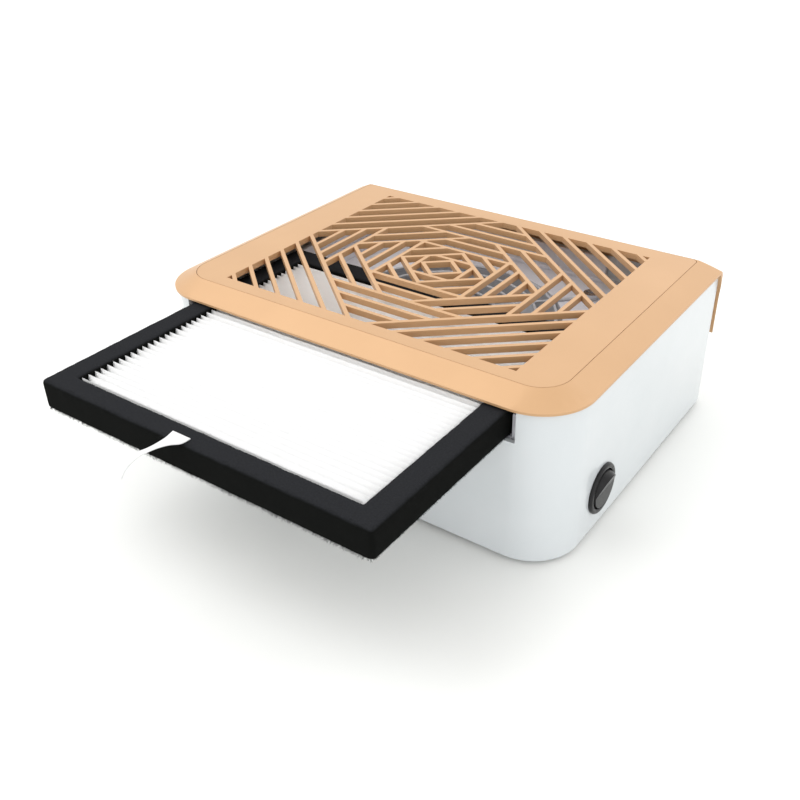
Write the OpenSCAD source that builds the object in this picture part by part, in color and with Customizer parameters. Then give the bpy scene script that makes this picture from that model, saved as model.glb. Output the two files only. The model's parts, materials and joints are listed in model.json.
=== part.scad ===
/* [Body] */
// Width over the gold cover
cover_w = 215; // [200:1:240]
// Depth of the cover, front edge to back flap
cover_d = 165; // [160:1:180]
// Height of the flat top above the table
top_z = 79.2; // [78:0.1:84]
// Height of the rubber feet
foot_h = 2; // [1.5:0.1:3]
// Thickness of the housing and base walls
wall_t = 2.2; // [2:0.1:2.6]
// Plan radius of the housing's two front corners
body_front_r = 22.5; // [18:0.5:24]
// Plan radius of the housing's two rear corners
body_rear_r = 3; // [2.5:0.1:5]

/* [Cover] */
// Sheet thickness of the cover
cover_t = 2; // [1.6:0.1:2.4]
// Horizontal run of the slanted band
band_run = 10.5; // [8:0.5:12]
// Drop of the slanted band, without its upright lip
band_drop = 5.1; // [4:0.1:6]
// Height of the upright lip under the band
band_lip = 1; // [0.6:0.1:1.4]
// Plan radius of the cover's two front corners
cover_front_r = 24; // [20:0.5:28]
// Radius of the bend from the top into the back flap
bend_r = 28; // [24:0.5:30]
// Distance from the top's rear edge to the flap's outer face
bend_run = 10.2; // [9:0.1:12]
// Height of the back flap's lower edge above the table
flap_z = 39.8; // [36:0.1:46]

/* [Grille] */
// Half width of the lattice window
window_hw = 76.5; // [70:0.5:80]
// Half depth of the lattice window
window_hd = 63.7; // [58:0.1:64]
// Width of each lattice bar
bar_w = 1.9; // [1.5:0.1:2.4]
// Depth of each lattice bar
bar_h = 2.8; // [2.4:0.1:3.6]
// Depth over width of the diamonds
diamond_slope = 0.85; // [0.8:0.01:0.9]
// Reach in X of the outermost whole diamond
diamond_a = 80.3; // [76:0.1:84]
// Step between parallel diamond bars
diamond_step = 13.2; // [12:0.1:14]
// Step between parallel upright bars
upright_step = 8.4; // [8:0.1:9]
// Step between parallel cross bars
cross_step = 8.8; // [8:0.1:9]

/* [Filter] */
// Width of the filter cartridge
filter_w = 165.2; // [160:0.1:165.4]
// Length of the filter cartridge
filter_l = 157; // [150:1:157]
// Thickness of the filter cartridge
filter_t = 13.5; // [12:0.1:13.6]
// How far the cartridge stands out of the cover at rest
filter_out = 82.3; // [60:0.1:84]
// Foam border at the two sides
border_side = 11; // [8:0.5:14]
// Foam border at the front
border_front = 10; // [8:0.5:14]
// Foam border at the rear
border_rear = 12; // [8:0.5:14]
// Distance from one pleat to the next
pleat_pitch = 3.1; // [2.6:0.1:4]
// Width of the ribbon pull tab
tab_w = 9; // [8:0.5:12]

/* [Fan] */
// Side of the square fan frame
fan_side = 119; // [110:1:119]
// Thickness of the fan
fan_t = 38; // [32:1:38]
// Radius of the fan duct
duct_r = 57; // [54:0.5:57]
// Number of impeller blades
blades = 7; // [5:1:9]

/* [Switch] */
// Outer radius of the switch bezel
bezel_r = 11.5; // [10.8:0.1:12.5]
// Travel of the rocker in degrees
rocker_deg = 20; // [14:1:22]

/* [Hidden] */
$fn = 64;

eps = 0.01;
gold = [0.90, 0.76, 0.56];
white = [0.93, 0.94, 0.95];
felt = [0.17, 0.18, 0.19];
black = [0.06, 0.06, 0.06];
steel = [0.72, 0.73, 0.75];
copper = [0.75, 0.42, 0.22];
green = [0.10, 0.35, 0.20];

// The body stands centred on X, with its own centre at body_y, so that the origin
// lies under the middle of the whole object with the cartridge drawn half out.
tab_reach = 14.5;
body_y = (filter_out + tab_reach) / 2;

hw = cover_w / 2;
front_y = -cover_d / 2;
rear_y = cover_d / 2;
lip_top_z = top_z - band_drop;
cover_z = lip_top_z - band_lip;
crease_hw = hw - band_run;
crease_front_y = front_y + band_run;
crease_r = cover_front_r - band_run;
bend_y = rear_y - bend_run;
bend_z = top_z - sqrt(bend_r * bend_r - (bend_r - bend_run) * (bend_r - bend_run));
ledge_w = 3;
ledge_h = 1.6;
panel_gap = 0.25;
panel_t = cover_t;
window_y = -1;

body_hw = hw - 1.5;
body_front_y = front_y + 1.3;
body_rear_y = rear_y - cover_t - 0.2;
wall_in = body_hw - wall_t;
base_top_z = foot_h + wall_t;

filter_z = 58.8;
slot_sill_z = filter_z - 0.3;
slot_hw = 86.2;
filter_front_y = front_y - filter_out;
filter_rear_y = filter_front_y + filter_l;
rail_gap = 0.5;
rail_t = 2;
rail_front_y = body_front_y + wall_t + 1;
rail_rear_y = body_rear_y - wall_t - 4;
stop_y = filter_rear_y + filter_out + 0.4;

deck_top_z = 55;
deck_z = deck_top_z - wall_t;
fan_y = 1;
fan_z = deck_z - fan_t;
fan_hole = 52.5;
hub_r = 20;
shaft_r = 1.5;
bearing_r = 4;
tube_r = 5.2;

switch_y = -40.2;
switch_z = 20.2;
bezel_t = 1.6;
switch_body_r = 10;
switch_bore_r = 9.1;
switch_body_l = 16;
rocker_r = 8.8;
pivot_x = body_hw - 0.8;
pivot_pin_r = 0.8;

socket_x = 78;
socket_z = 20;
socket_r = 5.5;

board_x = -83;
board_y = -5;
board_w = 34;
board_l = 70;
board_z = base_top_z + 6;
board_t = 1.6;

boss_r = 4;
boss_top_z = 14;
boss_places = [
    [-60, body_front_y + wall_t + 3.4], [60, body_front_y + wall_t + 3.4],
    [-wall_in + 3.4, 40], [wall_in - 3.4, 40],
    [-60, body_rear_y - wall_t - 3.4], [60, body_rear_y - wall_t - 3.4]
];

// Moves a sub-part from the body's own centre to the object's origin.
module on_body() {
    translate([0, body_y, 0]) children();
}

// Plan outline with one radius at the front corners and one at the rear.
module plan(half_w, y0, y1, rf, rr) {
    translate([-half_w, y0 + rf]) square([2 * half_w, y1 - rr - y0 - rf]);
    translate([-half_w + rf, y0]) square([2 * (half_w - rf), 2 * rf]);
    translate([-half_w + rr, y1 - 2 * rr]) square([2 * (half_w - rr), 2 * rr]);
    for (s = [-1, 1]) {
        translate([s * (half_w - rf), y0 + rf]) circle(rf);
        translate([s * (half_w - rr), y1 - rr]) circle(rr);
    }
}

// Side outline in Y and Z, with the arc of the rear bend, carried along X.
module side_prism(inset, bottom_z, high_z) {
    rotate([90, 0, 90])
        translate([0, 0, -cover_w])
            linear_extrude(2 * cover_w)
                intersection() {
                    translate([-cover_d, bottom_z]) square([2 * cover_d, high_z - bottom_z]);
                    union() {
                        translate([rear_y - bend_r, bend_z]) circle(bend_r - inset);
                        translate([-cover_d, bottom_z]) square([cover_d + rear_y - bend_r, high_z - bottom_z]);
                        translate([-cover_d, bottom_z]) square([cover_d + rear_y - inset, bend_z - bottom_z]);
                    }
                }
}

// Whole outer form of the cover, moved inwards by inset for its inner face.
module cover_form(inset) {
    low_hw = hw - inset;
    low_z = lip_top_z - inset;
    high_z = top_z - inset;
    low_front = front_y + inset;
    corner_r = cover_front_r - inset;
    corner_x = low_hw - corner_r;
    corner_y = low_front + corner_r;
    intersection() {
        union() {
            translate([0, 0, flap_z - 1])
                linear_extrude(low_z - flap_z + 1)
                    plan(low_hw, low_front, rear_y - inset, corner_r, 4.5 - inset);
            translate([0, corner_y, 0])
                rotate([90, 0, 180])
                    linear_extrude(rear_y - corner_y)
                        polygon([
                            [-low_hw, low_z - eps], [low_hw, low_z - eps],
                            [low_hw - band_run, high_z], [-low_hw + band_run, high_z]
                        ]);
            translate([-corner_x, 0, 0])
                rotate([90, 0, 90])
                    linear_extrude(2 * corner_x)
                        polygon([
                            [low_front, low_z - eps], [corner_y + 1, low_z - eps],
                            [corner_y + 1, high_z], [low_front + band_run, high_z]
                        ]);
            for (s = [-1, 1])
                translate([s * corner_x, corner_y, low_z - eps])
                    cylinder(h = band_drop + eps, r1 = corner_r, r2 = corner_r - band_run);
        }
        side_prism(inset, flap_z - 2, top_z - inset);
    }
}

module crease_plan(inset) {
    plan(crease_hw - inset, crease_front_y + inset, bend_y - inset, crease_r - inset, 3);
}

// Slot with round ends, standing along Y.
module slot_2d(length, width) {
    square([width, length - width], center = true);
    for (s = [-1, 1])
        translate([0, s * (length - width) / 2]) circle(width / 2);
}

module at_each(places) {
    for (p = places)
        translate([p[0], p[1], 0]) children();
}

module body_plan(inset) {
    plan(body_hw - inset, body_front_y + inset, body_rear_y - inset, body_front_r - inset, body_rear_r);
}

module housing_form(inset) {
    intersection() {
        translate([0, 0, foot_h]) linear_extrude(cover_z - foot_h) body_plan(inset);
        side_prism(cover_t + 0.2 + inset, foot_h, cover_z);
    }
}

vent_pitch = 7;
vent_count = 16;
vent_z = 22;
vent_l = 24;
vent_w = 3;

module housing() on_body() color(white) difference() {
    union() {
        difference() {
            housing_form(0);
            translate([0, 0, -1]) linear_extrude(cover_z) body_plan(wall_t);
            translate([0, 0, cover_z - 2]) linear_extrude(4) body_plan(wall_t);
        }
        // Ledge that carries the fan deck
        translate([0, 0, deck_z - 2.2])
            linear_extrude(2.2)
                difference() {
                    body_plan(wall_t - 0.2);
                    body_plan(wall_t + 3);
                }
        // Bosses for the base screws
        intersection() {
            at_each(boss_places) translate([0, 0, base_top_z]) cylinder(h = boss_top_z - base_top_z, r = boss_r);
            translate([0, 0, foot_h]) linear_extrude(cover_z) body_plan(wall_t - 0.2);
        }
    }
    at_each(boss_places) translate([0, 0, base_top_z - 1]) cylinder(h = boss_top_z - base_top_z, r = 1.3);
    // Filter slot
    translate([-slot_hw, body_front_y - 1, slot_sill_z]) cube([2 * slot_hw, wall_t + 2, cover_z]);
    // Switch hole
    translate([body_hw - wall_t - 1, switch_y, switch_z])
        rotate([0, 90, 0]) cylinder(h = wall_t + 2, r = switch_body_r + 0.1);
    // Power socket hole
    translate([socket_x, body_rear_y + 1, socket_z])
        rotate([90, 0, 0]) cylinder(h = wall_t + 2, r = socket_r + 0.1);
    // Exhaust louvres
    for (i = [0 : vent_count - 1])
        translate([(i - (vent_count - 1) / 2) * vent_pitch - 6, body_rear_y + 1, vent_z])
            rotate([90, 0, 0]) linear_extrude(wall_t + 2) slot_2d(vent_l, vent_w);
}

foot_x = 88;
foot_front = -60;
foot_rear = 64;
base_vents = 9;

module base_plate() on_body() color(white) difference() {
    translate([0, 0, foot_h]) linear_extrude(wall_t) body_plan(wall_t + 0.2);
    at_each(boss_places) translate([0, 0, foot_h - 1]) cylinder(h = wall_t + 2, r = 1.7);
    at_each(boss_places) translate([0, 0, foot_h - eps]) cylinder(h = 1.2, r1 = 3.2, r2 = 1.7);
    for (i = [0 : base_vents - 1])
        translate([(i - (base_vents - 1) / 2) * 10, fan_y, foot_h - 1])
            linear_extrude(wall_t + 2) slot_2d(70, 4);
}

module foot(x, y) on_body() color(black) translate([x, y, 0]) {
    cylinder(h = 0.6, r1 = 5.5, r2 = 6);
    translate([0, 0, 0.6]) cylinder(h = foot_h - 0.6, r = 6);
}
module foot_front_left() foot(-foot_x, foot_front);
module foot_front_right() foot(foot_x, foot_front);
module foot_rear_left() foot(-foot_x, foot_rear);
module foot_rear_right() foot(foot_x, foot_rear);

hook_t = 1.8;
hook_l = 12;
hook_z = 65;

module cover_rim() on_body() color(gold) union() {
    difference() {
        cover_form(0);
        cover_form(cover_t);
        // Open below the band, in front of the flap
        intersection() {
            side_prism(cover_t, flap_z - 2, top_z);
            translate([-cover_w, -cover_d, 0]) cube([2 * cover_w, 3 * cover_d, cover_z]);
        }
        translate([-cover_w, -cover_d, 0]) cube([2 * cover_w, 3 * cover_d, flap_z]);
        translate([0, 0, cover_z]) linear_extrude(top_z) crease_plan(0);
    }
    // Ledge that carries the grille panel
    translate([0, 0, top_z - panel_t - ledge_h])
        linear_extrude(ledge_h)
            difference() {
                crease_plan(-0.8);
                crease_plan(ledge_w);
            }
    // Snap hooks that hold the cover in the housing
    for (s = [-1, 1], y = [-30, 35])
        translate([s * (wall_in - 0.3 - hook_t / 2) - hook_t / 2, y, hook_z])
            cube([hook_t, hook_l, cover_z + 1.3 - hook_z]);
}

// Lattice drawing
slant = sqrt(1 + 1 / (diamond_slope * diamond_slope));

module diamond(a) {
    polygon([[a, 0], [0, a * diamond_slope], [-a, 0], [0, -a * diamond_slope]]);
}

module diamond_bar(a) {
    difference() {
        diamond(a + slant * bar_w / 2);
        diamond(a - slant * bar_w / 2);
    }
}

module uprights(first, count) {
    for (s = [-1, 1], i = [0 : count - 1])
        translate([s * (first + i * upright_step), 0]) square([bar_w, 2 * window_hd], center = true);
}

module crosses(first, count) {
    for (s = [-1, 1], i = [0 : count - 1])
        translate([0, s * (first + i * cross_step)]) square([2 * window_hw, bar_w], center = true);
}

module box_2d(hx, hy) {
    square([2 * hx, 2 * hy], center = true);
}

module box_bar(hx, hy) {
    difference() {
        box_2d(hx + bar_w / 2, hy + bar_w / 2);
        box_2d(hx - bar_w / 2, hy - bar_w / 2);
    }
}

outer_x = 50.2;
outer_y = 37.7;
middle_a = 51.8;
middle_x = 24.2;
middle_y = 21.1;
inner_a = 22.3;
inner_x = 12.6;
inner_y = 10.4;
heart_a = 10.4;

module lattice() {
    // Bars outside the large diamond, and the diamond itself
    for (i = [0 : 5])
        diamond_bar(diamond_a + i * diamond_step);
    // Hatches in its four tips
    intersection() {
        diamond(diamond_a);
        union() {
            uprights(outer_x, 3);
            crosses(outer_y, 3);
        }
    }
    // Middle diamond and the hatch around it
    intersection() {
        box_2d(outer_x, outer_y);
        union() {
            diamond_bar(diamond_a - diamond_step - 1);
            diamond_bar(middle_a);
        }
    }
    // Hatches in the tips of the middle diamond
    intersection() {
        diamond(middle_a);
        box_2d(outer_x, outer_y);
        union() {
            uprights(middle_x, 3);
            crosses(middle_y, 2);
        }
    }
    // Rectangle, inner diamond and its corner hatches
    intersection() {
        box_2d(middle_x, middle_y);
        union() {
            diamond_bar(inner_a + diamond_step - 0.5);
            diamond_bar(inner_a);
        }
    }
    intersection() {
        diamond(inner_a);
        box_bar(inner_x, inner_y);
    }
    diamond_bar(heart_a);
}

module grille_panel() on_body() color(gold) union() {
    translate([0, 0, top_z - panel_t])
        linear_extrude(panel_t)
            difference() {
                crease_plan(panel_gap);
                translate([0, window_y]) box_2d(window_hw, window_hd);
            }
    translate([0, window_y, top_z - bar_h]) linear_extrude(bar_h) {
        intersection() {
            lattice();
            box_2d(window_hw + eps, window_hd + eps);
        }
        difference() {
            box_2d(window_hw + 1.6, window_hd + 1.6);
            box_2d(window_hw, window_hd);
        }
    }
}

module fan_deck() on_body() color(white) difference() {
    translate([0, 0, deck_z]) linear_extrude(wall_t) body_plan(wall_t + 0.3);
    translate([0, fan_y, deck_z - 1]) cylinder(h = wall_t + 2, r = duct_r);
    translate([0, fan_y, 0])
        for (sx = [-1, 1], sy = [-1, 1])
            translate([sx * fan_hole, sy * fan_hole, deck_z - 1]) cylinder(h = wall_t + 2, r = 2.15);
}

// Guide along one side of the cartridge: a floor strip and an upright rib.
module filter_rail(side) {
    inner = filter_w / 2 + rail_gap;
    rail_l = rail_rear_y - rail_front_y;
    translate([side > 0 ? inner - 7 : -inner - rail_t, rail_front_y, deck_top_z])
        cube([7 + rail_t, rail_l, slot_sill_z - deck_top_z - 0.1]);
    translate([side > 0 ? inner : -inner - rail_t, rail_front_y, deck_top_z])
        cube([rail_t, rail_l, filter_z + filter_t - 3 - deck_top_z]);
}
module filter_rail_left() on_body() color(white) filter_rail(-1);
module filter_rail_right() on_body() color(white) filter_rail(1);

module filter_stop() on_body() color(white) {
    translate([-50, stop_y, deck_top_z]) cube([100, rail_t, 13]);
    translate([-50, stop_y - 3, deck_top_z]) cube([100, 3 + eps, 2]);
}

module fan_corners() {
    for (sx = [-1, 1], sy = [-1, 1])
        translate([sx * fan_hole, sy * fan_hole, 0]) children();
}

flange_t = 4;
module fan_flange() {
    linear_extrude(flange_t)
        plan(fan_side / 2, -fan_side / 2, fan_side / 2, 6, 6);
}

strut_w = 6;
strut_t = 3;
module fan_frame() on_body() color(steel) translate([0, fan_y, fan_z]) {
    difference() {
        union() {
            fan_flange();
            translate([0, 0, fan_t - flange_t]) fan_flange();
            cylinder(h = fan_t, r = duct_r + 2);
        }
        translate([0, 0, -1]) cylinder(h = fan_t + 2, r = duct_r);
        fan_corners() translate([0, 0, -1]) cylinder(h = fan_t + 2, r = 2.15);
    }
    // Struts and motor base at the outlet side
    difference() {
        union() {
            cylinder(h = strut_t, r = hub_r + 1);
            for (i = [0 : 3])
                rotate(i * 90 + 20)
                    translate([hub_r - 2, -strut_w / 2, 0]) cube([duct_r - hub_r + 3, strut_w, strut_t]);
            cylinder(h = 24, r = tube_r);
        }
        translate([0, 0, 1]) cylinder(h = 30, r = bearing_r);
    }
}

guard_wire_r = 0.75;
guard_rings = 5;
guard_step = 9.6;
guard_ear = 3;
module guard_ring(r) {
    difference() {
        circle(r + guard_wire_r);
        circle(r - guard_wire_r);
    }
}
module finger_guard() on_body() color(steel)
    translate([0, fan_y, deck_top_z]) linear_extrude(2 * guard_wire_r) {
        for (i = [1 : guard_rings])
            guard_ring(i * guard_step + 6);
        for (i = [0 : 3])
            rotate(45 + 90 * i) {
                translate([guard_step + 6, -guard_wire_r])
                    square([fan_hole * sqrt(2) - guard_ear - guard_step - 6, 2 * guard_wire_r]);
                translate([fan_hole * sqrt(2), 0]) guard_ring(guard_ear);
            }
    }

coil_z = fan_z + 7;
module motor_stator() on_body() color(steel) translate([0, fan_y, coil_z]) difference() {
    union() {
        cylinder(h = 10, r = 8);
        for (i = [0 : 3])
            rotate(90 * i) {
                translate([0, -2, 0]) cube([15, 4, 10]);
                intersection() {
                    difference() {
                        cylinder(h = 10, r = 16);
                        translate([0, 0, -1]) cylinder(h = 12, r = 14);
                    }
                    translate([8, -8, 0]) cube([10, 16, 10]);
                }
            }
    }
    translate([0, 0, -1]) cylinder(h = 12, r = tube_r + 0.05);
}

module motor_coils() on_body() color(copper) translate([0, fan_y, coil_z])
    for (i = [0 : 3])
        rotate(90 * i)
            difference() {
                translate([8.4, -4.2, -1.6]) cube([4.5, 8.4, 13.2]);
                translate([8, -2, 0]) cube([6, 4, 10]);
            }

module bearing(z) on_body() color(steel) translate([0, fan_y, z]) difference() {
    cylinder(h = 4, r = bearing_r);
    translate([0, 0, -1]) cylinder(h = 6, r = shaft_r + 0.02);
}
module bearing_upper() bearing(fan_z + 19.5);
module bearing_lower() bearing(fan_z + 1.5);

cup_z = fan_z + 12;
cup_h = 23;
cup_wall = 1.6;
blade_t = 1.4;
blade_pitch = 38;
module blade() {
    rotate([blade_pitch, 0, 0])
        translate([hub_r - 1, -blade_t / 2, -12]) cube([duct_r - hub_r + 2, blade_t, 24]);
}
module fan_impeller() on_body() color(steel) translate([0, fan_y, cup_z]) {
    difference() {
        cylinder(h = cup_h, r = hub_r);
        translate([0, 0, -1]) cylinder(h = cup_h + 1 - cup_wall, r = hub_r - cup_wall);
        translate([0, 0, cup_h - cup_wall - 1]) cylinder(h = cup_wall + 2, r = shaft_r);
    }
    intersection() {
        for (i = [0 : blades - 1])
            rotate(i * 360 / blades) translate([0, 0, cup_h / 2]) blade();
        difference() {
            translate([0, 0, 1.5]) cylinder(h = cup_h - 3, r = duct_r - 1.5);
            translate([0, 0, -1]) cylinder(h = cup_h + 2, r = hub_r - cup_wall / 2);
        }
    }
}

module fan_shaft() on_body() color(steel)
    translate([0, fan_y, fan_z + 1.2]) cylinder(h = cup_z + cup_h - fan_z - 1.2, r = shaft_r);

module rotor_magnet() on_body() color(black) translate([0, fan_y, cup_z + 0.6]) difference() {
    cylinder(h = 12, r = hub_r - cup_wall);
    translate([0, 0, -1]) cylinder(h = 14, r = 16.5);
}

post_places = [
    [board_x - board_w / 2 + 4, board_y - board_l / 2 + 4],
    [board_x + board_w / 2 - 4, board_y - board_l / 2 + 4],
    [board_x - board_w / 2 + 4, board_y + board_l / 2 - 4],
    [board_x + board_w / 2 - 4, board_y + board_l / 2 - 4]
];

module board_posts() on_body() color(white) at_each(post_places) difference() {
    translate([0, 0, base_top_z]) cylinder(h = board_z - base_top_z, r = 3);
    translate([0, 0, base_top_z + 1]) cylinder(h = board_z, r = 1.2);
}

module control_board() on_body() color(green) difference() {
    translate([board_x - board_w / 2, board_y - board_l / 2, board_z]) cube([board_w, board_l, board_t]);
    at_each(post_places) translate([0, 0, board_z - 1]) cylinder(h = board_t + 2, r = 1.5);
}

module board_capacitor() on_body() color(black)
    translate([board_x - 6, board_y - 16, board_z + board_t]) {
        cylinder(h = 15, r = 5);
        translate([0, 0, 15 - eps]) cylinder(h = 0.8, r1 = 5, r2 = 4.2);
    }

module board_heat_sink() on_body() color(steel)
    translate([board_x - 2, board_y + 6, board_z + board_t]) {
        cube([4, 22, 16]);
        for (i = [0 : 5])
            translate([3.9, i * 4, 0]) cube([8, 2, 16]);
    }

module board_connector() on_body() color(white)
    translate([board_x - 12, board_y + 8, board_z + board_t]) difference() {
        cube([7, 16, 8]);
        translate([1, 1, 2]) cube([5, 14, 8]);
    }

module power_socket() on_body() color(black) translate([socket_x, body_rear_y, socket_z]) rotate([90, 0, 0]) {
    difference() {
        union() {
            translate([0, 0, -1.2]) cylinder(h = 1.2, r = socket_r + 1.5);
            translate([0, 0, -eps]) cylinder(h = 9, r = socket_r);
            translate([-4.5, -4.5, 9 - eps]) cube([9, 9, 5]);
        }
        translate([0, 0, -2]) cylinder(h = 10, r = 3.1);
    }
    translate([0, 0, -0.6]) cylinder(h = 9, r = 1);
}

module power_socket_nut() on_body() color(steel)
    translate([socket_x, body_rear_y - wall_t, socket_z]) rotate([90, 0, 0]) difference() {
        cylinder(h = 2.5, r = socket_r + 2.4, $fn = 6);
        translate([0, 0, -1]) cylinder(h = 5, r = socket_r + 0.05);
    }

module switch_bezel() on_body() color(black) translate([body_hw, switch_y, switch_z]) rotate([0, 90, 0]) difference() {
    union() {
        cylinder(h = bezel_t - 0.6, r = bezel_r);
        translate([0, 0, bezel_t - 0.6]) cylinder(h = 0.6, r1 = bezel_r, r2 = bezel_r - 0.6);
        translate([0, 0, -switch_body_l]) cylinder(h = switch_body_l + eps, r = switch_body_r);
    }
    translate([0, 0, -10]) cylinder(h = 20, r = switch_bore_r);
    // Pivot holes
    translate([0, 0, pivot_x - body_hw])
        rotate([90, 0, 0]) cylinder(h = 2 * switch_body_r - 0.4, r = pivot_pin_r + 0.05, center = true);
}

module switch_terminals() on_body() color(steel) translate([body_hw - switch_body_l, switch_y, switch_z])
    for (y = [-4.5, 4.5])
        translate([-8, y - 0.4, -2.4]) cube([8, 0.8, 4.8]);

rocker_face = 2.8;
// The outline runs past the ball, and the ball's poles lie inside the pivot pin.
rocker_over = rocker_r + 1;
module switch_rocker() on_body() color(black) translate([pivot_x, switch_y, switch_z]) union() {
    intersection() {
        rotate([0, 90, 0]) rotate([90, 0, 0]) sphere(rocker_r);
        rotate([90, 0, 0])
            linear_extrude(4 * rocker_r, center = true)
                polygon([
                    [-4.5, -rocker_over], [rocker_face, -rocker_over], [rocker_face, 0],
                    [rocker_face + rocker_over * tan(rocker_deg), rocker_over], [-2, rocker_over]
                ]);
    }
    rotate([90, 0, 0]) cylinder(h = 2 * switch_bore_r + 0.8, r = pivot_pin_r, center = true);
}

module fan_screws() on_body() color(steel) translate([0, fan_y, 0]) fan_corners() {
    translate([0, 0, deck_z - flange_t - 3]) cylinder(h = flange_t + 3 + wall_t + 2 * guard_wire_r + 0.5, r = 2);
    difference() {
        translate([0, 0, deck_top_z + 2 * guard_wire_r]) cylinder(h = 1.7, r = 3.8);
        translate([-3, -0.4, deck_top_z + 2 * guard_wire_r + 0.9]) cube([6, 0.8, 2]);
        translate([-0.4, -3, deck_top_z + 2 * guard_wire_r + 0.9]) cube([0.8, 6, 2]);
    }
}

module base_screws() on_body() color(steel) at_each(boss_places) {
    translate([0, 0, foot_h + 0.1]) cylinder(h = 1.1, r1 = 3, r2 = 1.3);
    translate([0, 0, foot_h + 1.1]) cylinder(h = 9, r = 1.28);
}

module board_screws() on_body() color(steel) at_each(post_places) {
    translate([0, 0, board_z - 4]) cylinder(h = 4.5 + board_t, r = 1.18);
    translate([0, 0, board_z + board_t]) cylinder(h = 1.4, r = 2.4);
}

// A round lead swept along a route of points.
lead_r = 0.9;
lead_sides = 8;
function route_dir(p, i) =
    let (a = p[max(i - 1, 0)], b = p[min(i + 1, len(p) - 1)], d = b - a) d / norm(d);
function across(d) = abs(d[2]) < 0.9 ? cross(d, [0, 0, 1]) / norm(cross(d, [0, 0, 1])) : [1, 0, 0];
module lead(p) {
    n = len(p);
    ring_points = [
        for (i = [0 : n - 1])
            let (d = route_dir(p, i), u = across(d), v = cross(u, d))
                for (j = [0 : lead_sides - 1])
                    let (t = 360 * j / lead_sides) p[i] + lead_r * (u * cos(t) + v * sin(t))
    ];
    side_faces = [
        for (i = [0 : n - 2], j = [0 : lead_sides - 1])
            let (k = (j + 1) % lead_sides)
                [i * lead_sides + j, i * lead_sides + k, (i + 1) * lead_sides + k, (i + 1) * lead_sides + j]
    ];
    cap_a = [[for (j = [lead_sides - 1 : -1 : 0]) j]];
    cap_b = [[for (j = [0 : lead_sides - 1]) (n - 1) * lead_sides + j]];
    polyhedron(ring_points, concat(side_faces, cap_a, cap_b), convexity = 6);
}

socket_route = [
    [78, 64, 20], [78, 60, 19], [79, 54, 15], [80, 46, 10], [81, 30, 7],
    [81, 10, 6.5], [81, -10, 7], [81, -24, 10], [81, -32, 15], [81, -35.7, 20]
];
switch_route = [
    [81, -44.7, 20], [80, -49, 15], [78, -54, 10], [72, -62, 7], [60, -68, 6.5],
    [30, -70, 6], [0, -70, 6], [-30, -70, 6], [-60, -68, 6.5], [-72, -60, 7],
    [-78, -54, 11], [-82, -46, 15], [-84, -39, 15], [-85, -33, 14]
];
fan_route = [
    [-87, 12, 17], [-86.6, 20, 22], [-83, 30, 24], [-73, 44, 20], [-64, 48, 12],
    [-50, 44, 9], [-36, 32, 8], [-24, 18, 8], [-20, 9, 10], [-19, 5, 13.6]
];

module lead_socket() on_body() color(black) lead(socket_route);
module lead_switch() on_body() color(black) lead(switch_route);
module lead_fan() on_body() color(black) lead(fan_route);

module filter_frame() on_body() color(felt) translate([0, filter_front_y, filter_z]) difference() {
    linear_extrude(filter_t) plan(filter_w / 2, 0, filter_l, 2, 2);
    translate([-filter_w / 2 + border_side, border_front, -1])
        cube([filter_w - 2 * border_side, filter_l - border_front - border_rear, filter_t + 2]);
}

media_t = 0.5;
media_h = 10;
media_z = filter_z + 2.2;
media_l = filter_l - border_front - border_rear;
pleats = floor(media_l / pleat_pitch);
function zigzag(i, lift) = [(i / 2) * media_l / pleats, (i % 2) * (media_h - media_t * 2) + lift];
module filter_media() on_body() color([0.95, 0.95, 0.95])
    translate([-filter_w / 2 + border_side, filter_front_y + border_front, media_z])
        rotate([90, 0, 90])
            linear_extrude(filter_w - 2 * border_side)
                polygon(concat(
                    [for (i = [0 : 2 * pleats]) zigzag(i, media_t * 2)],
                    [for (i = [2 * pleats : -1 : 0]) zigzag(i, 0)]
                ));

// Ribbon swept along a route, its width turning from across to outwards.
tab_t = 0.5;
tab_x = -6;
tab_turn = 37;
tab_route = [
    [0, 4, 0.3], [0, 0, 0.3], [-1.5, -3.5, 0.4], [-4.5, -7.5, -0.6],
    [-9, -11, -3], [-13, -13, -7], [-15.5, -13.6, -11.5]
];
module pull_tab() on_body() color([0.94, 0.94, 0.94])
    translate([tab_x, filter_front_y, filter_z + filter_t]) {
        n = len(tab_route);
        section_points = [
            for (i = [0 : n - 1])
                let (
                    turn = -tab_turn * i / (n - 1),
                    w = [cos(turn), sin(turn), 0] * tab_w / 2,
                    u = cross(route_dir(tab_route, i), w),
                    v = -u / norm(u) * tab_t / 2
                )
                    each [tab_route[i] - w - v, tab_route[i] + w - v, tab_route[i] + w + v, tab_route[i] - w + v]
        ];
        side_faces = [
            for (i = [0 : n - 2], j = [0 : 3])
                let (
                    k = (j + 1) % 4,
                    near_a = i * 4 + j,
                    near_b = i * 4 + k,
                    far_a = near_a + 4,
                    far_b = near_b + 4
                )
                    each [[near_a, near_b, far_b], [near_a, far_b, far_a]]
        ];
        polyhedron(section_points, concat(side_faces, [[3, 2, 1, 0]], [[for (j = [0 : 3]) (n - 1) * 4 + j]]));
    }

housing();
base_plate();
foot_front_left();
foot_front_right();
foot_rear_left();
foot_rear_right();
cover_rim();
grille_panel();
fan_deck();
filter_rail_left();
filter_rail_right();
filter_stop();
fan_frame();
finger_guard();
motor_stator();
motor_coils();
bearing_upper();
bearing_lower();
control_board();
board_capacitor();
board_heat_sink();
board_connector();
board_posts();
power_socket();
power_socket_nut();
switch_bezel();
switch_terminals();
fan_screws();
base_screws();
board_screws();
lead_socket();
lead_switch();
lead_fan();
filter_frame();
filter_media();
pull_tab();
switch_rocker();
fan_impeller();
fan_shaft();
rotor_magnet();
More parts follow.
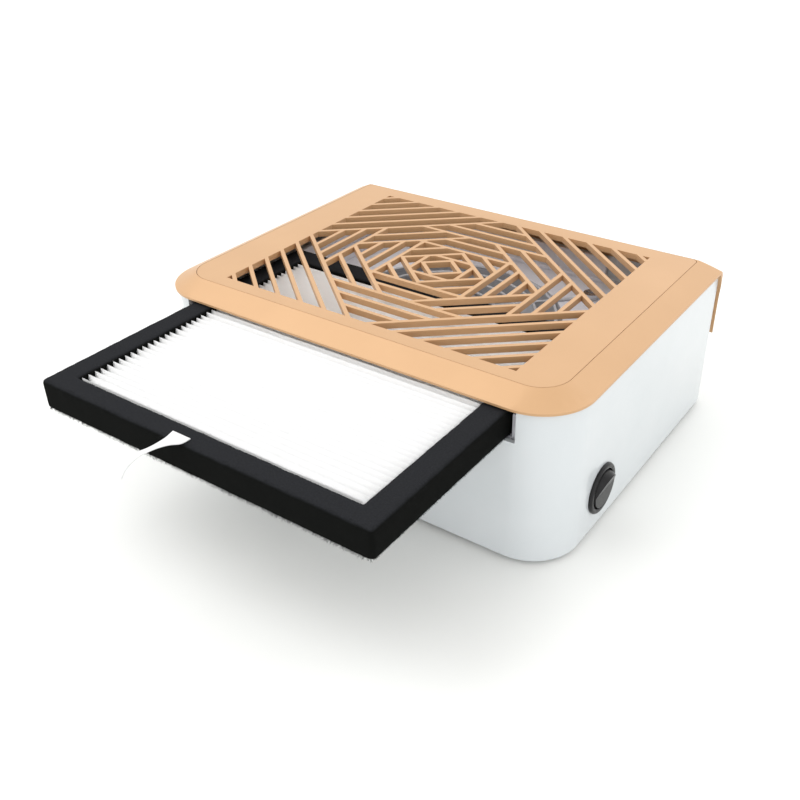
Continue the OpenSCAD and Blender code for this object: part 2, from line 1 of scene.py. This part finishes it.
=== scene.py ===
"""Looks of the nail dust collector: rounded shells, felt frame, pleated paper, ribbon tab and fan,
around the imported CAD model. All lengths are in metres, in the frame of the CAD model."""
import json
import math
import random

import bpy
from mathutils import Matrix, Vector, noise


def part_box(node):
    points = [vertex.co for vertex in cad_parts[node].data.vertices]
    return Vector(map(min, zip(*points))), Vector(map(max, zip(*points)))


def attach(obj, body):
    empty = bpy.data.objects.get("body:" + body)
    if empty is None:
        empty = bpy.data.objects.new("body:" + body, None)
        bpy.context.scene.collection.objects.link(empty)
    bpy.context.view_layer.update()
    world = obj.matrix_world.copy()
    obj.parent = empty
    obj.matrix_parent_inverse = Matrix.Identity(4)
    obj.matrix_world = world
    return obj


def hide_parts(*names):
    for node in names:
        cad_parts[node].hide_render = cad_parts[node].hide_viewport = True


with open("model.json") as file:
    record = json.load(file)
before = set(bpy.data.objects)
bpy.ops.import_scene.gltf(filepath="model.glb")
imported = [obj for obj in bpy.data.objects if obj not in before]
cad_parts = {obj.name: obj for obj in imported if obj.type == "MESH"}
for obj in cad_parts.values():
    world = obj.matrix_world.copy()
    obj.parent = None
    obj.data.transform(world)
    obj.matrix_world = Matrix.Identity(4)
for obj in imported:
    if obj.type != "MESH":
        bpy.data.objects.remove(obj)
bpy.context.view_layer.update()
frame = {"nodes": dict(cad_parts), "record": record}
nodes = frame["nodes"]
MM = 0.001
TAU = 2 * math.pi

rim_low, rim_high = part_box("cover_rim")
BODY_Y = (rim_low.y + rim_high.y) / 2


# ---------------------------------------------------------------- camera
def set_camera():
    azimuth, elevation, roll = (math.radians(a) for a in (35.63, 32.09, -0.95))
    level = math.cos(elevation)
    back = Vector((math.sin(azimuth) * level, -math.cos(azimuth) * level, math.sin(elevation)))
    right = Vector((math.cos(azimuth), math.sin(azimuth), 0))
    up = back.cross(right)
    turn = Matrix.Rotation(roll, 3, back)
    right, up = turn @ right, turn @ up
    data = bpy.data.cameras.new("camera")
    data.sensor_width = 36
    data.lens = 42.8
    data.shift_x = -0.012
    data.shift_y = -0.004
    camera = bpy.data.objects.new("camera", data)
    bpy.context.scene.collection.objects.link(camera)
    camera.matrix_world = Matrix((
        (right.x, up.x, back.x, 0.2257),
        (right.y, up.y, back.y, BODY_Y - 0.3431),
        (right.z, up.z, back.z, 0.2647),
        (0, 0, 0, 1)))
    bpy.context.scene.camera = camera


# ---------------------------------------------------------------- materials
def principled(name, **sockets):
    material = bpy.data.materials.new(name)
    material.use_nodes = True
    shader = material.node_tree.nodes["Principled BSDF"]
    for socket, value in sockets.items():
        shader.inputs[socket.replace("_", " ")].default_value = value
    return material, material.node_tree, shader


def noise_node(tree, scale, detail=3.0, roughness=0.55, stretch=(1, 1, 1)):
    """Noise in object space, at scale features a metre, stretched along an axis."""
    place = tree.nodes.new("ShaderNodeTexCoord")
    mapping = tree.nodes.new("ShaderNodeMapping")
    mapping.inputs["Scale"].default_value = stretch
    tree.links.new(place.outputs["Object"], mapping.inputs["Vector"])
    texture = tree.nodes.new("ShaderNodeTexNoise")
    texture.inputs["Scale"].default_value = scale
    texture.inputs["Detail"].default_value = detail
    texture.inputs["Roughness"].default_value = roughness
    tree.links.new(mapping.outputs["Vector"], texture.inputs["Vector"])
    return texture.outputs["Fac"]


def ramp(tree, factor, low, high, start=0.3, stop=0.7):
    """Maps factor from start..stop to the colours, or the greys, low..high."""
    node = tree.nodes.new("ShaderNodeValToRGB")
    node.color_ramp.elements[0].position = start
    node.color_ramp.elements[1].position = stop
    for element, value in zip(node.color_ramp.elements, (low, high)):
        element.color = (*value, 1) if isinstance(value, tuple) else (value, value, value, 1)
    tree.links.new(factor, node.inputs["Fac"])
    return node.outputs["Color"]


def bump(tree, shader, height, strength, distance):
    node = tree.nodes.new("ShaderNodeBump")
    node.inputs["Strength"].default_value = strength
    node.inputs["Distance"].default_value = distance
    tree.links.new(height, node.inputs["Height"])
    tree.links.new(node.outputs["Normal"], shader.inputs["Normal"])


def surface(name, low, high, rough=(0.3, 0.4), patch=40, grain=900, bump_strength=0.1,
            bump_distance=0.0001, stretch=(1, 1, 1), **sockets):
    """A material with slight colour and gloss variation in patches and a fine grain in its bump."""
    material, tree, shader = principled(name, **sockets)
    patches = noise_node(tree, patch)
    tree.links.new(ramp(tree, patches, low, high), shader.inputs["Base Color"])
    fine = noise_node(tree, grain, detail=4, stretch=stretch)
    tree.links.new(ramp(tree, fine, *rough), shader.inputs["Roughness"])
    bump(tree, shader, fine, bump_strength, bump_distance)
    return material


white_shell = surface("white_shell", (0.655, 0.69, 0.71), (0.68, 0.71, 0.73), rough=(0.16, 0.22),
                      grain=350, bump_strength=0.05, bump_distance=0.0001, Coat_Weight=0.25,
                      Coat_Roughness=0.06)
inner_plastic = surface("inner_plastic", (0.70, 0.70, 0.75), (0.74, 0.74, 0.79), rough=(0.35, 0.45),
                        grain=1400)
gold_cover = surface("gold_cover", (0.585, 0.350, 0.178), (0.615, 0.372, 0.192), rough=(0.38, 0.46),
                     patch=25, grain=2600, bump_strength=0.16, bump_distance=0.00006, Metallic=0.2,
                     Coat_Weight=0.08, Coat_Roughness=0.3)
black_plastic = surface("black_plastic", (0.006, 0.006, 0.007), (0.011, 0.011, 0.012), rough=(0.28, 0.36),
                        grain=900, bump_strength=0.06, Specular_IOR_Level=0.3)
foot_rubber = surface("foot_rubber", (0.02, 0.02, 0.02), (0.035, 0.035, 0.035), rough=(0.7, 0.85), grain=2500,
                      bump_strength=0.3)


def felt_material():
    """Foam border: a cool dark grey, with painted shade that takes its sides towards near black by the
    surface normal, and a fine uneven nap.
    """
    material, tree, shader = principled("felt", Specular_IOR_Level=0.06)
    geometry = tree.nodes.new("ShaderNodeNewGeometry")
    split = tree.nodes.new("ShaderNodeSeparateXYZ")
    tree.links.new(geometry.outputs["Normal"], split.inputs["Vector"])
    # Painted shade: the world-space normal's Z blends from near black on the sides to the cool dark grey on
    # top, standing in for the shade that falls on the sides.
    felt_tone_with_painted_side_shade = ramp(tree, split.outputs["Z"], (0.005, 0.0055, 0.005), (0.024, 0.025, 0.028), 0.3, 0.85)
    speckle = ramp(tree, noise_node(tree, 1500), 0.7, 1.0)
    mix = tree.nodes.new("ShaderNodeMix")
    mix.data_type = "RGBA"
    mix.blend_type = "MULTIPLY"
    # The colour sockets of a mix node share their names with its float ones, so they go by number.
    factor, first, second, result = 0, 6, 7, 2
    mix.inputs[factor].default_value = 1.0
    tree.links.new(felt_tone_with_painted_side_shade, mix.inputs[first])
    tree.links.new(speckle, mix.inputs[second])
    tree.links.new(mix.outputs[result], shader.inputs["Base Color"])
    nap = noise_node(tree, 3500, detail=4)
    tree.links.new(ramp(tree, nap, 0.9, 1.0), shader.inputs["Roughness"])
    bump(tree, shader, nap, 0.5, 0.0003)
    return material


# The felt material's base colour carries painted shade on the frame's sides.
felt = felt_material()
felt_fibre = surface("felt_fibre", (0.007, 0.0075, 0.007), (0.016, 0.017, 0.016), rough=(0.85, 0.95),
                     patch=900, grain=2500, Specular_IOR_Level=0.06)
paper = surface("paper", (0.965, 0.965, 0.965), (0.99, 0.99, 0.99), rough=(0.75, 0.9), patch=260, grain=3000,
                bump_strength=0.3, bump_distance=0.0001, Subsurface_Weight=0.12, Subsurface_Scale=0.001,
                Subsurface_Radius=(1, 1, 1))
ribbon = surface("ribbon", (0.74, 0.74, 0.745), (0.80, 0.80, 0.805), rough=(0.55, 0.7), patch=900, grain=2200,
                 bump_strength=0.5, bump_distance=0.0001, stretch=(1, 0.15, 0.15), Sheen_Weight=0.2)
fan_grey = surface("fan_grey", (0.50, 0.51, 0.54), (0.56, 0.57, 0.60), rough=(0.35, 0.45), grain=1800)
steel = surface("steel", (0.58, 0.59, 0.61), (0.68, 0.69, 0.70), rough=(0.18, 0.3), patch=300, grain=1200,
                bump_strength=0.08, Metallic=1.0)
copper = surface("copper", (0.45, 0.17, 0.07), (0.60, 0.26, 0.11), rough=(0.25, 0.35), patch=2500, grain=3000,
                 bump_strength=0.6, bump_distance=0.0003, stretch=(1, 1, 6), Metallic=0.8)
board_green = surface("board_green", (0.012, 0.09, 0.035), (0.02, 0.14, 0.055), rough=(0.25, 0.35),
                      patch=350, grain=900)
lead_black = surface("lead_black", (0.012, 0.012, 0.012), (0.022, 0.022, 0.022), rough=(0.4, 0.5), grain=1500)

SLOT_MATERIALS = {
    "white_shell": white_shell, "inner_plastic": inner_plastic, "gold_cover": gold_cover,
    "black_plastic": black_plastic, "foot_rubber": foot_rubber, "felt": felt, "paper": paper,
    "ribbon": ribbon, "fan_grey": fan_grey, "steel": steel, "copper": copper,
    "board_green": board_green, "lead_black": lead_black}


# ---------------------------------------------------------------- helpers
def shade_smooth(obj, angle=35):
    """Smooth shading that keeps edges over angle degrees sharp."""
    mesh = obj.data
    mesh.shade_smooth()
    mesh.set_sharp_from_angle(angle=math.radians(angle))


def piece(name, verts, faces, body, slot, replaces=(), material=None, angle=35):
    mesh = bpy.data.meshes.new(name)
    mesh.from_pydata([tuple(v) for v in verts], [], faces)
    mesh.validate()
    obj = bpy.data.objects.new(name, mesh)
    bpy.context.scene.collection.objects.link(obj)
    mesh.materials.append(material or SLOT_MATERIALS[slot])
    shade_smooth(obj, angle)
    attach(obj, body)
    if replaces:
        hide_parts(*replaces)
    return obj


def grid(rows, wrap_row=False, wrap_column=False):
    """Vertices and quads of a surface given as rows of points."""
    n, m = len(rows), len(rows[0])
    faces = []
    for i in range(n if wrap_row else n - 1):
        for j in range(m if wrap_column else m - 1):
            a, b = (i + 1) % n, (j + 1) % m
            faces.append((i * m + j, i * m + b, a * m + b, a * m + j))
    return [p for row in rows for p in row], faces


def merge(*parts):
    """Joins (verts, faces) pairs into one pair."""
    verts, faces = [], []
    for part_verts, part_faces in parts:
        base = len(verts)
        verts += part_verts
        faces += [tuple(base + i for i in face) for face in part_faces]
    return verts, faces


def lathe(profile, centre, axis="z", segments=96):
    """Revolves closed profile points (radius, height) about an axis through centre."""
    rows = []
    for i in range(segments):
        c, s = math.cos(TAU * i / segments), math.sin(TAU * i / segments)
        row = []
        for r, h in profile:
            local = (r * c, r * s, h) if axis == "z" else (h, r * c, r * s)
            row.append(Vector(centre) + Vector(local))
        rows.append(row)
    return grid(rows, wrap_row=True, wrap_column=True)


def tube(points, radius, sides=12, closed=False):
    """A round wire along points, with flat ends where it isn't closed."""
    n = len(points)
    rows = []
    for i, p in enumerate(points):
        a = points[(i - 1) % n] if closed else points[max(i - 1, 0)]
        b = points[(i + 1) % n] if closed else points[min(i + 1, n - 1)]
        d = (b - a).normalized()
        side = d.cross(Vector((0, 0, 1)) if abs(d.z) < 0.9 else Vector((1, 0, 0))).normalized()
        lift = side.cross(d)
        rows.append([p + radius * (side * math.cos(TAU * k / sides) + lift * math.sin(TAU * k / sides))
                     for k in range(sides)])
    verts, faces = grid(rows, wrap_row=closed, wrap_column=True)
    if not closed:
        faces.append(tuple(range(sides)))
        faces.append(tuple((n - 1) * sides + k for k in reversed(range(sides))))
    return verts, faces


def smooth_route(points, steps=8):
    """Catmull-Rom curve through points."""
    result = []
    for i in range(len(points) - 1):
        p0, p1, p2, p3 = (points[max(0, min(len(points) - 1, i + k))] for k in (-1, 0, 1, 2))
        for k in range(steps):
            t = k / steps
            result.append(0.5 * ((2 * p1) + (p2 - p0) * t + (2 * p0 - 5 * p1 + 4 * p2 - p3) * t * t
                                 + (3 * p1 - p0 - 3 * p2 + p3) * t ** 3))
    return result + [points[-1]]


def soften_cad(node, width, segments=2, angle=30, dissolve=True):
    """Rounds the sharp edges of a CAD node that stays in view."""
    obj = nodes[node]
    weld = obj.modifiers.new("weld", "WELD")
    weld.merge_threshold = 0.00001
    if dissolve:
        flat = obj.modifiers.new("flat", "DECIMATE")
        flat.decimate_type = "DISSOLVE"
        flat.angle_limit = math.radians(0.5)
    bevel = obj.modifiers.new("bevel", "BEVEL")
    bevel.width = width
    bevel.segments = segments
    bevel.limit_method = "ANGLE"
    bevel.angle_limit = math.radians(angle)
    bevel.use_clamp_overlap = True
    weighted = obj.modifiers.new("weighted", "WEIGHTED_NORMAL")
    weighted.keep_sharp = True
    obj.data.shade_smooth()
    obj.data.set_sharp_from_angle(angle=math.radians(angle))


def dress_cad_nodes():
    """Gives every CAD node its slot's material, and soft edges to those that stay in view."""
    for part in frame["record"]["subparts"]:
        obj = nodes[part["node"]]
        obj.data.materials.clear()
        obj.data.materials.append(SLOT_MATERIALS[part["material_slot"]])
    widths = {
        "housing": 0.35, "cover_rim": 0.3, "base_plate": 0.3, "fan_deck": 0.3,
        "filter_rail_left": 0.3, "filter_rail_right": 0.3, "filter_stop": 0.4, "fan_frame": 0.4,
        "motor_stator": 0.15, "motor_coils": 1.2, "control_board": 0.1, "board_capacitor": 0.5,
        "board_heat_sink": 0.15, "board_connector": 0.2, "board_posts": 0.2, "power_socket": 0.25,
        "power_socket_nut": 0.25, "switch_terminals": 0.1, "fan_screws": 0.15, "base_screws": 0.1,
        "board_screws": 0.2, "rotor_magnet": 0.2, "switch_rocker": 0.35, "fan_shaft": 0.2,
        "bearing_upper": 0.25, "bearing_lower": 0.25, "foot_front_left": 0.3, "foot_front_right": 0.3,
        "foot_rear_left": 0.3, "foot_rear_right": 0.3}
    for node, width in widths.items():
        soften_cad(node, width * MM)
    # The lattice keeps its triangles: a face with this many holes can't be joined into one.
    soften_cad("grille_panel", 0.45 * MM, segments=3, dissolve=False)


# ---------------------------------------------------------------- filter cartridge
frame_low, frame_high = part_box("filter_frame")
media_low, media_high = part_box("filter_media")


def rounded_section(radius, corner_steps=4, edge_steps=5):
    """Closed section on a unit square, (across, up), with round corners; radius is a share of each side."""
    points = []
    corners = [(1, 0, -90), (1, 1, 0), (0, 1, 90), (0, 0, 180)]
    for k, (cx, cy, start) in enumerate(corners):
        for i in range(corner_steps + 1):
            t = math.radians(start + 90 * i / corner_steps)
            ox = radius[0] if cx == 0 else 1 - radius[0]
            oy = radius[1] if cy == 0 else 1 - radius[1]
            points.append((ox + radius[0] * math.cos(t), oy + radius[1] * math.sin(t)))
        nx, ny, following = corners[(k + 1) % 4]
        t = math.radians(following)
        ex = (radius[0] if nx == 0 else 1 - radius[0]) + radius[0] * math.cos(t)
        ey = (radius[1] if ny == 0 else 1 - radius[1]) + radius[1] * math.sin(t)
        sx, sy = points[-1]
        for i in range(1, edge_steps):
            f = i / edge_steps
            points.append((sx + (ex - sx) * f, sy + (ey - sy) * f))
    return points


def ring_path(low, high, corner_r, steps, corner_steps=5):
    """Rounded rectangle in plan, anticlockwise from the front left, with the same count on any size."""
    path = []
    corners = [(low.x, low.y, 180), (high.x, low.y, 270), (high.x, high.y, 0), (low.x, high.y, 90)]
    for k, (x, y, start) in enumerate(corners):
        cx = x + corner_r if x == low.x else x - corner_r
        cy = y + corner_r if y == low.y else y - corner_r
        for i in range(corner_steps + 1):
            t = math.radians(start + 90 * i / corner_steps)
            path.append(Vector((cx + corner_r * math.cos(t), cy + corner_r * math.sin(t), 0)))
        nx, ny, following = corners[(k + 1) % 4]
        ncx = nx + corner_r if nx == low.x else nx - corner_r
        ncy = ny + corner_r if ny == low.y else ny - corner_r
        t = math.radians(following)
        end = Vector((ncx + corner_r * math.cos(t), ncy + corner_r * math.sin(t), 0))
        begin = path[-1]
        for i in range(1, steps):
            path.append(begin.lerp(end, i / steps))
    return path


def build_filter_frame():
    """Felt-wrapped foam frame with softly rounded edges and a slightly uneven surface."""
    steps = 90
    skin = 0.25 * MM
    inset = Vector((skin, skin, 0))
    outer = ring_path(frame_low + inset, frame_high - inset, 1.8 * MM, steps)
    inner = ring_path(media_low + inset * 0.5, media_high - inset * 0.5, 0.4 * MM, steps)
    thickness = frame_high.z - frame_low.z - 2 * skin
    section = rounded_section((0.13, 0.11), corner_steps=5, edge_steps=7)
    rows = []
    for p_out, p_in in zip(outer, inner):
        row = []
        for across, up in section:
            point = p_in.lerp(p_out, across)
            point.z = frame_low.z + skin + up * thickness
            fine, broad = noise.noise_vector(point * 900), noise.noise_vector(point * 160)
            push = fine * 0.12 * MM + broad * 0.12 * MM
            row.append(point + push)
        rows.append(row)
    verts, faces = grid(rows, wrap_row=True, wrap_column=True)
    return piece("filter_felt_frame", verts, faces, "filter_cartridge", "felt", ("filter_frame",), angle=80)


def build_felt_fibres():
    """Short loose fibres along the frame's edges."""
    rng = random.Random(4)
    low, high = frame_low, frame_high
    parts = []
    # Reach of the frame's rounded edges, sideways and in height; roots lie inside them.
    edge_y, edge_z = 1.5 * MM, 1.4 * MM
    for _ in range(5200):
        lower = rng.random() < 0.8
        side = rng.choice(("front", "front", "left", "right", "right"))
        out = {"front": Vector((0, -1, 0)), "left": Vector((-1, 0, 0)), "right": Vector((1, 0, 0))}[side]
        turn = math.radians(rng.uniform(5, 85))
        z_sign = -1 if lower else 1
        radial = out * math.cos(turn) + Vector((0, 0, z_sign * math.sin(turn)))
        centre_z = low.z + edge_z if lower else high.z - edge_z
        if side == "front":
            centre = Vector((rng.uniform(low.x + edge_y, high.x - edge_y), low.y + edge_y, centre_z))
        else:
            x = low.x + edge_y if side == "left" else high.x - edge_y
            centre = Vector((x, rng.uniform(low.y + edge_y, high.y), centre_z))
        root = centre + radial * edge_z * 0.6
        along = Vector((out.y, out.x, 0)) * rng.uniform(-0.8, 0.8)
        heading = (radial + along).normalized()
        # The rails and the lip stand close to the sides, so the fibres there are shorter.
        length = (rng.uniform(0.8, 1.35) if side == "front" else rng.uniform(0.55, 0.75)) * MM
        bend = Vector((rng.uniform(-1, 1), rng.uniform(-1, 1), rng.uniform(-1, 0.4))) * length * 0.35
        points = [root, root + heading * length * 0.5 + bend * 0.3, root + heading * length + bend]
        parts.append(tube(points, 0.035 * MM, sides=3))
    verts, faces = merge(*parts)
    return piece("filter_felt_fibres", verts, faces, "filter_cartridge", "felt",
                 material=felt_fibre, angle=80)


def build_media():
    """Pleated paper: rounded ridges along X, each a little off its place."""
    rng = random.Random(11)
    margin = 0.15 * MM
    front, rear = media_low.y + margin, media_high.y - margin
    low_z, high_z = media_low.z + 0.2 * MM, media_high.z - 0.2 * MM
    pleats = 43
    pitch = (rear - front) / pleats
    columns = 64
    per_pleat = 12
    rounding = 0.35
    rows = []
    shifts = [rng.uniform(-0.22, 0.22) * MM for _ in range(pleats + 1)]
    for i in range(pleats * per_pleat + 1):
        pleat, step = divmod(i, per_pleat)
        phase = step / per_pleat
        sharp = 1 - 2 * abs(phase - 0.5)
        height = 0.5 - 0.5 * rounding * math.cos(math.pi * sharp) - 0.5 * (1 - rounding) * (1 - 2 * sharp)
        height = min(1, max(0, height))
        row = []
        for j in range(columns + 1):
            x = media_low.x + margin + (media_high.x - media_low.x - 2 * margin) * j / columns
            drift = noise.noise(Vector((x * 35, pleat * 3.7, 0.5))) * 0.3 * MM
            fade = math.sin(math.pi * phase)
            y = front + (pleat + phase) * pitch + (shifts[min(pleat, pleats)] + drift) * fade
            lift = noise.noise(Vector((x * 60, pleat * 5.1, 9))) * 0.15 * MM * fade
            z = low_z + height * (high_z - low_z) + lift
            row.append(Vector((x, y, z)))
        rows.append(row)
    verts, faces = grid(rows)
    obj = piece("filter_pleats", verts, faces, "filter_cartridge", "paper", ("filter_media",), angle=80)
    thick = obj.modifiers.new("paper", "SOLIDIFY")
    thick.thickness = 0.22 * MM
    thick.offset = 0
    return obj


def build_tab():
    """Ribbon that leaves the frame's top front edge, springs outwards and curls down to the left."""
    root = Vector((-6 * MM, frame_low.y, frame_high.z))
    width = 9 * MM
    route = [(0, 4, 0.3), (0, 0, 0.3), (-1.5, -3.5, 0.4), (-4.5, -7.5, -0.6), (-9, -11, -3),
             (-13, -13, -7), (-15.5, -13.6, -11.5)]
    line = smooth_route([root + Vector(p) * MM for p in route], steps=10)
    rows = []
    for i, p in enumerate(line):
        share = i / (len(line) - 1)
        turn = math.radians(-37 * share)
        roll = 0.5 * math.sin(math.pi * share) ** 2
        flat = math.cos(roll)
        across = Vector((math.cos(turn) * flat, math.sin(turn) * flat, math.sin(roll)))
        row = []
        for j in range(15):
            s = j / 14 - 0.5
            ripple = 0.35 * MM * math.sin(share * 7 + s * 2.2) * share
            row.append(p + across * width * s + Vector((0, 0, ripple - 0.9 * MM * (2 * s) ** 2 * share)))
        rows.append(row)
    verts, faces = grid(rows)
    obj = piece("ribbon_tab", verts, faces, "filter_cartridge", "ribbon", ("pull_tab",), angle=80)
    thick = obj.modifiers.new("ribbon", "SOLIDIFY")
    thick.thickness = 0.35 * MM
    thick.offset = 0
    return obj


# ---------------------------------------------------------------- fan
def fan_centre():
    low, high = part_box("fan_frame")
    return (low.x + high.x) / 2, (low.y + high.y) / 2


def build_impeller():
    """Hub cup with a rounded crown and seven cambered blades whose pitch eases towards the tip."""
    x, y = fan_centre()
    low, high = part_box("fan_impeller")
    magnet_low, magnet_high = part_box("rotor_magnet")
    hub_r = (magnet_high.x - magnet_low.x) / 2 + 1.6 * MM
    bottom, top = low.z, high.z
    round_r = 2.5 * MM
    crown = [(hub_r - round_r + round_r * math.cos(a), top - round_r + round_r * math.sin(a))
             for a in (math.radians(9 * k) for k in range(11))]
    inner = hub_r - 1.6 * MM
    profile = [(inner, bottom), (hub_r - 0.3 * MM, bottom), (hub_r, bottom + 0.3 * MM)] + crown + [
        (hub_r * 0.62, top), (hub_r * 0.6, top - 0.3 * MM), (hub_r * 0.55, top - 0.3 * MM),
        (hub_r * 0.53, top), (1.5 * MM, top), (1.5 * MM, top - 1.6 * MM),
        (inner - 1.5 * MM, top - 1.6 * MM), (inner, top - 3.2 * MM)]
    parts = [lathe(profile, (x, y, 0), segments=128)]
    tip_r = 55.2 * MM
    middle = (bottom + top) / 2
    for k in range(7):
        start = TAU * k / 7
        upper, lower = [], []
        for i in range(15):
            share = i / 14
            r = hub_r - 0.6 * MM + (tip_r - hub_r + 0.6 * MM) * share
            pitch = math.radians(50 - 17 * share)
            chord = (23 + 9 * math.sin(math.pi * share * 0.8)) * MM
            upper_row, lower_row = [], []
            for j in range(13):
                c = j / 12 - 0.5
                camber = 2.2 * MM * (1 - 4 * c * c)
                along = c * chord
                sweep = 7 * MM * share * share
                thick = 0.95 * MM * math.sqrt(max(0.0, 1 - 4 * c * c)) + 0.12 * MM
                for row, side in ((upper_row, 1), (lower_row, -1)):
                    offset = camber + side * thick
                    around = (along * math.cos(pitch) - offset * math.sin(pitch) + sweep) / r
                    z = middle + along * math.sin(pitch) * 0.86 + offset * math.cos(pitch) - 1.2 * MM
                    z = min(top - 0.4 * MM, max(bottom + 0.4 * MM, z))
                    a = start + around
                    row.append(Vector((x + r * math.cos(a), y + r * math.sin(a), z)))
            upper.append(upper_row)
            lower.append(lower_row)
        rows = [u + list(reversed(l)) for u, l in zip(upper, lower)]
        verts, faces = grid(rows, wrap_column=True)
        m = len(rows[0])
        faces.append(tuple(range(m)))
        faces.append(tuple((len(rows) - 1) * m + q for q in reversed(range(m))))
        parts.append((verts, faces))
    verts, faces = merge(*parts)
    return piece("fan_rotor", verts, faces, "impeller", "fan_grey", ("fan_impeller",), angle=40)


def build_guard():
    """Round wire rings on four spokes that end in eyes under the fan screws."""
    x, y = fan_centre()
    low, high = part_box("finger_guard")
    wire = (high.z - low.z) / 2
    z = low.z + wire
    parts = []

    def ring(cx, cy, r, steps):
        turns = [TAU * i / steps for i in range(steps)]
        return [Vector((cx + r * math.cos(a), cy + r * math.sin(a), z)) for a in turns]

    for i in range(1, 6):
        parts.append(tube(ring(x, y, (i * 9.6 + 6) * MM, 96), wire, closed=True))
    hole = 52.5 * MM * math.sqrt(2)
    for k in range(4):
        a = math.radians(45 + 90 * k)
        d = Vector((math.cos(a), math.sin(a), 0))
        centre = Vector((x, y, z))
        parts.append(tube([centre + d * 14.5 * MM, centre + d * 40 * MM, centre + d * (hole - 3 * MM)], wire))
        parts.append(tube(ring(x + d.x * hole, y + d.y * hole, 3 * MM, 32), wire, closed=True))
    verts, faces = merge(*parts)
    return piece("guard_wires", verts, faces, "housing", "fan_grey", ("finger_guard",), angle=60)


# ---------------------------------------------------------------- switch
def build_bezel():
    """Round bezel with a rounded lip, and the switch body behind the wall."""
    low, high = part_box("switch_bezel")
    centre_y, centre_z = (low.y + high.y) / 2, (low.z + high.z) / 2
    outer = (high.y - low.y) / 2
    face = high.x
    wall = face - 1.6 * MM
    bore, barrel = 9.1 * MM, 10 * MM
    lip = [(outer - 1.1 * MM + 1.1 * MM * math.cos(a), face - 1.1 * MM + 1.1 * MM * math.sin(a))
           for a in (math.radians(10 * k) for k in range(10))]
    inner_lip = [(bore + 0.6 * MM - 0.6 * MM * math.sin(a), face - 0.6 * MM + 0.6 * MM * math.cos(a))
                 for a in (math.radians(15 * k) for k in range(7))]
    profile = [(barrel, wall), (outer - 0.1 * MM, wall), (outer, wall + 0.1 * MM)] + lip + inner_lip + [
        (bore, wall - 10 * MM), (0.2 * MM, wall - 10 * MM), (0.2 * MM, low.x),
        (barrel - 0.5 * MM, low.x), (barrel, low.x + 0.5 * MM)]
    verts, faces = lathe(profile, (0, centre_y, centre_z), axis="x", segments=128)
    return piece("switch_ring", verts, faces, "housing", "black_plastic", ("switch_bezel",), angle=40)


def build_leads():
    """Internal wires as smooth round leads along the routes of the CAD model."""
    shift = Vector((0, BODY_Y, 0))
    routes = {
        "lead_socket": [(78, 64, 20), (78, 60, 19), (79, 54, 15), (80, 46, 10), (81, 30, 7), (81, 10, 6.5),
                        (81, -10, 7), (81, -24, 10), (81, -32, 15), (81, -35.7, 20)],
        "lead_switch": [(81, -44.7, 20), (80, -49, 15), (78, -54, 10), (72, -62, 7), (60, -68, 6.5),
                        (30, -70, 6), (0, -70, 6), (-30, -70, 6), (-60, -68, 6.5), (-72, -60, 7),
                        (-78, -54, 11), (-82, -46, 15), (-84, -39, 15), (-85, -33, 14)],
        "lead_fan": [(-87, 12, 17), (-86.6, 20, 22), (-83, 30, 24), (-73, 44, 20), (-64, 48, 12),
                     (-50, 44, 9), (-36, 32, 8), (-24, 18, 8), (-20, 9, 10), (-19, 5, 13.6)]}
    for node, route in routes.items():
        points = smooth_route([Vector(p) * MM + shift for p in route], steps=6)
        verts, faces = tube(points, 0.85 * MM, sides=12)
        piece(node + "_wire", verts, faces, "housing", "lead_black", (node,), angle=60)


# ---------------------------------------------------------------- stage
def build_stage():
    mesh = bpy.data.meshes.new("floor")
    half = 3.0
    corners = [(-half, -half, 0), (half, -half, 0), (half, half, 0), (-half, half, 0)]
    mesh.from_pydata(corners, [], [(0, 1, 2, 3)])
    floor = bpy.data.objects.new("floor", mesh)
    bpy.context.scene.collection.objects.link(floor)
    pale = surface("floor_pale", (0.925, 0.93, 0.91), (0.935, 0.94, 0.92), rough=(0.55, 0.65),
                   patch=2, grain=60)
    floor.data.materials.append(pale)
    world = bpy.data.worlds.new("studio")
    world.use_nodes = True
    sky = world.node_tree.nodes["Background"]
    sky.inputs["Color"].default_value = (1.0, 1.0, 0.995, 1)
    sky.inputs["Strength"].default_value = 1.1
    bpy.context.scene.world = world
    bpy.context.scene.view_settings.view_transform = "Standard"
    for name, place, size, watts in (
            ("key", (-0.55, -0.35, 1.0), 0.7, 4.0),
            ("fill", (0.9, -0.6, 0.7), 0.9, 0.8),
            ("rear", (0.1, 1.0, 0.9), 0.9, 1.5)):
        data = bpy.data.lights.new(name, "AREA")
        data.size = size
        data.energy = watts
        lamp = bpy.data.objects.new(name, data)
        bpy.context.scene.collection.objects.link(lamp)
        lamp.location = place
        aim = Vector((0, 0, 0.04)) - Vector(place)
        lamp.rotation_euler = aim.to_track_quat("-Z", "Y").to_euler()


set_camera()
build_stage()
dress_cad_nodes()
build_filter_frame()
build_felt_fibres()
build_media()
build_tab()
build_impeller()
build_guard()
build_bezel()
build_leads()
